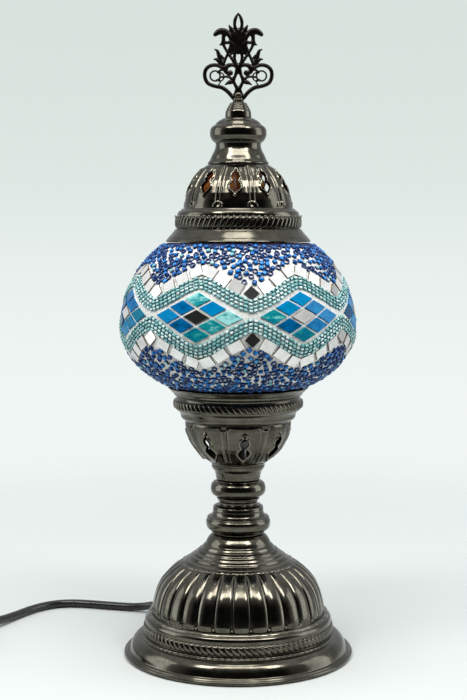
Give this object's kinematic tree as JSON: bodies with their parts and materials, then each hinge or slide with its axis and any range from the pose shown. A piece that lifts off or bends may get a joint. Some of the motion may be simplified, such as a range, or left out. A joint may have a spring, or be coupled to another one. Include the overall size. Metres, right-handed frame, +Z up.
{
  "type": "mosaic glass table lamp",
  "caption": "Table lamp with a glass mosaic globe between a pierced metal cup and cap, a turned stem, a fluted domed base, an openwork finial and a mains lead with an inline switch.",
  "frame": {"origin": "middle of the felt's underside, where the lamp rests", "axes": "+Z up along the stem, -Y towards the viewer at the front, +X to the viewer's right; the mains lead leaves at the back left"},
  "size_m": [0.3475, 0.1748, 0.3532],
  "materials": {
    "antique_metal": "dark antique bronze plating, glossy",
    "finial_metal": "dark antique bronze plating, satin",
    "plain_steel": "zinc plated",
    "ballast_iron": "rough casting",
    "felt": "pressed felt",
    "clear_glass": "clear blown glass",
    "mosaic": "glass tiles and seed beads in white grout",
    "bulb_glass": "clear bulb glass",
    "plain_brass": "bright",
    "phenolic": "moulded black",
    "black_pvc": "semi-gloss black"
  },
  "bodies": {
    "stand": {"felt_pad": "felt", "base_plate": "plain_steel", "base_ballast": "ballast_iron", "base_shell": "antique_metal", "base_washer": "plain_steel", "base_nut": "plain_steel", "stem_tube": "plain_steel", "base_neck": "antique_metal", "stem_lower_ring": "antique_metal", "stem_collar": "antique_metal", "stem_knob": "antique_metal", "cup_gallery": "antique_metal", "cup_nut": "plain_steel", "strap_nut": "plain_steel", "bracket_strap": "plain_steel", "bracket_bridge": "plain_steel", "bracket_rod_left": "plain_steel", "bracket_rod_right": "plain_steel", "rod_nut_left": "plain_steel", "rod_nut_right": "plain_steel", "top_stud": "plain_steel", "stud_nut_lower": "plain_steel", "stud_nut_upper": "plain_steel", "lampholder_cap": "phenolic", "lampholder_body": "phenolic", "lampholder_insert": "phenolic", "lampholder_contact": "plain_brass", "lampholder_screw_shell": "plain_brass", "inner_lead": "black_pvc", "cord_strain_relief": "black_pvc", "cord_to_switch": "black_pvc", "switch_lower_shell": "black_pvc", "switch_upper_shell": "black_pvc", "switch_screw": "plain_steel", "switch_contact": "plain_brass", "cord_to_coil": "black_pvc", "cord_coil": "black_pvc", "cord_to_plug": "black_pvc", "plug_body": "black_pvc", "plug_pin_left": "plain_steel", "plug_pin_right": "plain_steel"},
    "bulb": {"bulb_glass": "bulb_glass", "bulb_screw_cap": "plain_brass", "bulb_stem": "bulb_glass"},
    "globe": {"glass_globe": "clear_glass", "mosaic_layer": "mosaic"},
    "cap": {"cap_dome": "antique_metal", "cap_neck": "antique_metal"},
    "finial": {"finial_socket": "finial_metal", "finial_openwork": "finial_metal"},
    "rocker": {"switch_rocker": "black_pvc"}
  },
  "joints": [
    {"name": "globe_lift", "type": "slide", "parent": "stand", "child": "globe", "axis": [0, 0, 1], "range_m": [0, 0.155]},
    {"name": "cap_lift", "type": "slide", "parent": "globe", "child": "cap", "axis": [0, 0, 1], "range_m": [0, 0.078]},
    {"name": "finial_turn", "type": "hinge", "parent": "cap", "child": "finial", "pos_m": [0, 0, 0.3], "axis": [0, 0, 1], "continuous": true},
    {"name": "bulb_turn", "type": "hinge", "parent": "stand", "child": "bulb", "pos_m": [0, 0, 0.15], "axis": [0, 0, 1], "continuous": true},
    {"name": "rocker_tilt", "type": "hinge", "parent": "stand", "child": "rocker", "pos_m": [-0.1672, -0.001, 0.012], "axis": [-0.8996, 0.4368, 0], "range_deg": [0, 16]}
  ]
}
